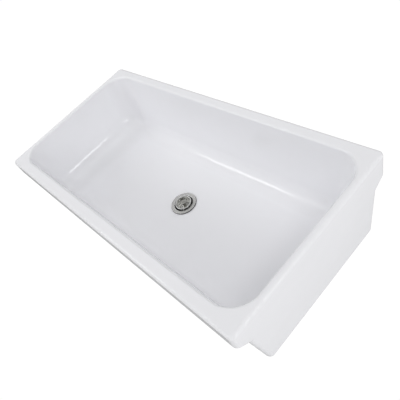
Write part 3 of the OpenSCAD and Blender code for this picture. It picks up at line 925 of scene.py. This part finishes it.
def make_post(w):
    """Post: headed below the sleeve, necked through it, with a collar on the basket's floor."""
    low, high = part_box("basket_post")
    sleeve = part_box("spring_sleeve")
    floor_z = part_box("basket_cup")[0][2] + w.basket_metal
    knob_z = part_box("basket_knob")[0][2]
    shaft_r = w.post_r - 0.0001
    neck_r = w.post_r - 0.001
    spigot_r = w.post_r - SPIGOT_IN
    head_z, shaft_z = sleeve[0][2] - FIT, sleeve[1][2] + FIT
    return ring_solid("basket_post_and_collar", turned(outline([
        (0.0, low[2], 0), (shaft_r, low[2], 0.0008), (shaft_r, head_z, 0.0001),
        (neck_r, head_z, 0.0001), (neck_r, shaft_z, 0.0001), (shaft_r, shaft_z, 0.0003),
        (shaft_r, floor_z, 0.0001), (shaft_r + 0.002, floor_z, 0.0003),
        (shaft_r + 0.002, floor_z + 0.0015, 0.0006), (shaft_r, floor_z + 0.0015, 0.0003),
        (shaft_r, knob_z, 0.0002), (spigot_r, knob_z, 0.0001),
        (spigot_r, high[2], 0.0004), (0.0, high[2], 0)], 4), 72))


def make_knob(w):
    """Knob: a waisted neck that flares to a rounded cap."""
    low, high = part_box("basket_knob")
    # The corner lies past the box, because its rounding draws the cap in
    r, h = high[0] + 0.00015, high[2] - low[2]
    bore = w.post_r - SPIGOT_IN + SPIGOT_FIT
    top = low[2] + h - 0.0024
    return ring_solid("basket_knob_cap", turned(outline([
        (0.0, top, 0), (bore, top, 0.0001), (bore, low[2], 0.0001),
        (w.post_r + 0.0006, low[2], 0.0005), (w.post_r + 0.0008, low[2] + h * 0.25, 0.002),
        (r, low[2] + h * 0.45, 0.001), (r - 0.0006, low[2] + h * 0.85, 0.003),
        (0.0, high[2], 0)], 7, 0.0008), 96))


def make_seal(w):
    """Stopper's seal: a rubber disc with a lip that draws in above and below its middle."""
    low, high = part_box("stopper_seal")
    # The corner lies past the box, because its rounding draws the lip in
    r, middle = high[0] + 0.0002, (low[2] + high[2]) / 2
    return ring_solid("stopper_rubber_seal", turned(outline([
        (w.post_r, low[2], 0.0002), (r - 0.002, low[2], 0.0005), (r, middle, 0.0006),
        (r - 0.001, high[2], 0.0005), (w.post_r, high[2], 0.0002)], 6), 120))


# Stage

# Camera: its focal length, the picture's width and the optical axis in pixels, its place in
# metres, the directions to its right and up, and the width of its sensor
FOCAL_PX = 404.8
PHOTO_PX = 400
AXIS_PX = (191.48, 212.66)
CAMERA_AT = (0.7449, -0.2913, 0.8297)
CAMERA_RIGHT = (0.6652, 0.6625, -0.3444)
CAMERA_UP = (-0.3998, 0.7056, 0.5851)
SENSOR_MM = 36

# Half the floor's width, how far it lies below the tailpiece, and its glow
FLOOR_REACH = 20.0
FLOOR_DROP = 0.02
FLOOR_GLOW = 1.02
# Distance of the lamps from the middle of the basin
LAMP_AWAY = 2.6
# Softboxes: name, azimuth and elevation in degrees, size in metres, glow, and whether the glaze
# reflects it
SOFTBOXES = (
    ("front_left_softbox", -136, 37, (1.0, 0.46), 3.2, True),
    ("right_softbox", 6, 18, (1.0, 0.3), 4.9, True),
    ("left_fill", 180, 28, (0.9, 0.9), 3.55, False),
    ("upper_left_fill", 180, 65, (0.9, 0.9), 3.65, False),
    ("upper_right_fill", 0, 52, (0.9, 0.9), 2.9, False),
)
# Surroundings: the height of direction from which the ground's glow fades up to the horizon, the
# glows of the ground and of everything above it, then screens of azimuth in degrees, three heights
# of direction between which each fades in and out, and glow
GROUND_END = -0.1
GROUND_GLOW = 0.3
EVEN_GLOW = 0.2
SCREENS = (
    (-90, (0.28, 0.55, 0.75), 2.2),
    (90, (0.3, 0.55, 0.75), 0.94),
    (0, (0.0, 0.3, 0.55), 0.87),
    (0, (0.55, 0.78, 1.0), 1.2),
    (180, (0.5, 0.75, 0.95), 0.42),
)


def make_camera():
    """Camera solved from the photograph's rim corners, end face and drain."""
    data = bpy.data.cameras.new("photo_camera")
    data.sensor_width = SENSOR_MM
    data.lens = FOCAL_PX * SENSOR_MM / PHOTO_PX
    data.shift_x = (PHOTO_PX / 2 - AXIS_PX[0]) / PHOTO_PX
    data.shift_y = (AXIS_PX[1] - PHOTO_PX / 2) / PHOTO_PX
    data.clip_start = 0.01
    cam = bpy.data.objects.new("photo_camera", data)
    bpy.context.collection.objects.link(cam)
    right, up = Vector(CAMERA_RIGHT).normalized(), Vector(CAMERA_UP).normalized()
    back = right.cross(up).normalized()
    up = back.cross(right)
    turn = Matrix((right, up, back)).transposed()
    cam.matrix_world = Matrix.Translation(CAMERA_AT) @ turn.to_4x4()
    bpy.context.scene.camera = cam


def aim(azimuth, elevation, away):
    """Vector of that length in the direction of the two angles, in degrees."""
    a, e = math.radians(azimuth), math.radians(elevation)
    return Vector((math.cos(e) * math.cos(a), math.cos(e) * math.sin(a), math.sin(e))) * away


def make_softbox(name, azimuth, elevation, size, glow, reflected):
    """Rectangular lamp of an even glow that faces the sink from that direction. Its energy is
    the glow times its area times pi, and the glaze reflects it only if asked."""
    data = bpy.data.lights.new(name, "AREA")
    data.shape = "RECTANGLE"
    data.size, data.size_y = size
    data.energy = glow * math.pi * size[0] * size[1]
    lamp = bpy.data.objects.new(name, data)
    middle = Vector((0, 0, RIM_Z / 2))
    lamp.location = middle + aim(azimuth, elevation, LAMP_AWAY)
    lamp.rotation_euler = (middle - lamp.location).to_track_quat("-Z", "Y").to_euler()
    lamp.visible_camera = False
    lamp.visible_glossy = reflected
    bpy.context.collection.objects.link(lamp)


def glow_material(name, rgb, strength):
    """Plain surface that glows upwards and isn't there from below."""
    mat = bpy.data.materials.new(name)
    mat.use_nodes = True
    tree = mat.node_tree
    tree.nodes.clear()
    glow = add(tree, "ShaderNodeEmission", {"Color": (*rgb, 1), "Strength": strength})
    clear = add(tree, "ShaderNodeBsdfTransparent")
    below = add(tree, "ShaderNodeNewGeometry").outputs["Backfacing"]
    either = add(tree, "ShaderNodeMixShader", {0: below, 1: glow.outputs[0], 2: clear.outputs[0]})
    out = add(tree, "ShaderNodeOutputMaterial")
    tree.links.new(either.outputs[0], out.inputs[0])
    return mat


def make_surroundings():
    """Surroundings that the camera sees as white. Everything else is lit by them and reflects
    them as soft screens: each screen's glow is the squared cosine of the azimuth from its own,
    times a peak over the height of the direction."""
    world = bpy.data.worlds.new("studio")
    bpy.context.scene.world = world
    world.use_nodes = True
    tree = world.node_tree
    way = add(tree, "ShaderNodeSeparateXYZ", {0: add(tree, "ShaderNodeTexCoord").outputs[0]})
    height = way.outputs[2]
    level = add(tree, "ShaderNodeCombineXYZ", {0: way.outputs[0], 1: way.outputs[1], 2: 0.0})
    level = add(tree, "ShaderNodeVectorMath", {0: level.outputs[0]}, operation="NORMALIZE")
    total = ramp(tree, height, GROUND_END, 0.0, GROUND_GLOW, EVEN_GLOW)
    for azimuth, (low, peak, high), glow in SCREENS:
        facing = add(tree, "ShaderNodeVectorMath", {
            0: level.outputs[0], 1: aim(azimuth, 0, 1)}, operation="DOT_PRODUCT")
        lobe = add(tree, "ShaderNodeMath", {0: facing.outputs["Value"], 1: 0.0},
                   operation="MAXIMUM").outputs[0]
        across = times(tree, lobe, lobe)
        upward = times(tree, ramp(tree, height, low, peak), ramp(tree, height, high, peak))
        total = add(tree, "ShaderNodeMath",
                    {0: times(tree, across, upward), 1: glow, 2: total},
                    operation="MULTIPLY_ADD").outputs[0]
    seen = add(tree, "ShaderNodeLightPath").outputs["Is Camera Ray"]
    strength = add(tree, "ShaderNodeMix", {0: seen, 2: total, 3: FLOOR_GLOW})
    fill(tree, tree.nodes["Background"], {
        "Color": (1, 1, 1, 1), "Strength": strength.outputs[0]})


def make_stage(finish):
    """Pale floor below the tailpiece, soft surroundings and softboxes."""
    under = cad_box[0][2] - FLOOR_DROP
    corners = [(-1, -1), (1, -1), (1, 1), (-1, 1)]
    floor = mesh_from("studio_floor",
                      [(x * FLOOR_REACH, y * FLOOR_REACH, under) for x, y in corners],
                      np.array([[0, 1, 2, 3]]))
    floor.data.materials.append(glow_material("studio_floor", finish.floor, FLOOR_GLOW))
    floor.visible_glossy = False
    make_surroundings()
    for box in SOFTBOXES:
        make_softbox(*box)
    bpy.context.scene.view_settings.view_transform = "Standard"


class SINK_OT_stage(bpy.types.Operator):
    """Camera, floor and lamps"""

    bl_idname = "sink.stage"
    bl_label = "Stage"

    def execute(self, context):
        make_camera()
        make_stage(context.scene.sink_finish)
        return {"FINISHED"}


class SINK_OT_basin(bpy.types.Operator):
    """Glazed basin"""

    bl_idname = "sink.basin"
    bl_label = "Basin"

    def execute(self, context):
        scene = context.scene
        finish_piece(make_basin(scene.sink_basin), "basin", "sink",
                     glaze_material(scene.sink_finish))
        return {"FINISHED"}


class SINK_OT_waste(bpy.types.Operator):
    """Strainer, washers, nuts and tailpiece"""

    bl_idname = "sink.waste"
    bl_label = "Waste fitting"

    def execute(self, context):
        w, finish = context.scene.sink_waste, context.scene.sink_finish
        s = context.scene.sink_basin
        bore = thread_bore(w)
        finish_fittings([
            (washer("flange_rubber_gasket", "flange_gasket", s.waste_hole_r + 0.0005, 0.0004,
                    w.gasket_inset), "flange_gasket", "rubber"),
            (make_strainer(w), "strainer_body", "steel"),
            (washer("floor_rubber_washer", "rubber_washer", bore, 0.0006),
             "rubber_washer", "rubber"),
            (washer("floor_fibre_washer", "fibre_washer", bore, 0.0002), "fibre_washer", "fibre"),
            (make_locknut(w), "locknut", "zinc"),
            (washer("tailpiece_nylon_washer", "tailpiece_washer", w.outlet_r + 0.0004, 0.0003),
             "tailpiece_washer", "nylon"),
            (make_tailpiece(w), "tailpiece", "brass"),
            (make_coupling_nut(w), "coupling_nut", "brass"),
        ], "sink", finish)
        return {"FINISHED"}


class SINK_OT_basket(bpy.types.Operator):
    """Basket, post, knob and stopper"""

    bl_idname = "sink.basket"
    bl_label = "Basket"

    def execute(self, context):
        w, finish = context.scene.sink_waste, context.scene.sink_finish
        finish_fittings([
            (make_basket(w), "basket_cup", "basket"),
            (make_post(w), "basket_post", "knob"),
            (make_knob(w), "basket_knob", "knob"),
            (make_seal(w), "stopper_seal", "rubber"),
            (washer("stopper_backing_plate", "stopper_plate", w.post_r, 0.0003),
             "stopper_plate", "steel"),
        ], "basket", finish)
        return {"FINISHED"}


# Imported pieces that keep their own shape
KEPT_SHAPES = ("crossbar_outlet", "spring_sleeve", "stopper_nut")


class SINK_OT_finishes(bpy.types.Operator):
    """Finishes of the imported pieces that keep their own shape"""

    bl_idname = "sink.finishes"
    bl_label = "Finishes"

    def execute(self, context):
        for part in frame["record"]["subparts"]:
            if part["node"] not in KEPT_SHAPES:
                continue
            obj = frame["nodes"][part["node"]]
            obj.data.materials.clear()
            obj.data.materials.append(
                fitting_material(part["material_slot"], context.scene.sink_finish))
        return {"FINISHED"}


class SINK_PT_panel(bpy.types.Panel):
    """Panel that lists the sink's makers"""

    bl_idname = "SINK_PT_panel"
    bl_label = "Trough sink"
    bl_space_type = "VIEW_3D"
    bl_region_type = "UI"
    bl_category = "Sink"

    def draw(self, context):
        for cls in OPERATORS:
            self.layout.operator(cls.bl_idname)


OPERATORS = (SINK_OT_stage, SINK_OT_basin, SINK_OT_waste, SINK_OT_basket, SINK_OT_finishes)
CLASSES = (SinkBasinSizes, SinkWasteSizes, SinkFinish, *OPERATORS, SINK_PT_panel)


def register():
    """Adds the sink's sizes, makers and panel to Blender."""
    for cls in CLASSES:
        bpy.utils.register_class(cls)
    bpy.types.Scene.sink_basin = bpy.props.PointerProperty(type=SinkBasinSizes)
    bpy.types.Scene.sink_waste = bpy.props.PointerProperty(type=SinkWasteSizes)
    bpy.types.Scene.sink_finish = bpy.props.PointerProperty(type=SinkFinish)


def unregister():
    """Takes the sink's sizes, makers and panel away again."""
    del bpy.types.Scene.sink_finish
    del bpy.types.Scene.sink_waste
    del bpy.types.Scene.sink_basin
    for cls in reversed(CLASSES):
        bpy.utils.unregister_class(cls)


def main():
    """Makes every piece."""
    register()
    bpy.ops.sink.stage()
    bpy.ops.sink.basin()
    bpy.ops.sink.waste()
    bpy.ops.sink.basket()
    bpy.ops.sink.finishes()


if __name__ == "__main__":
    main()
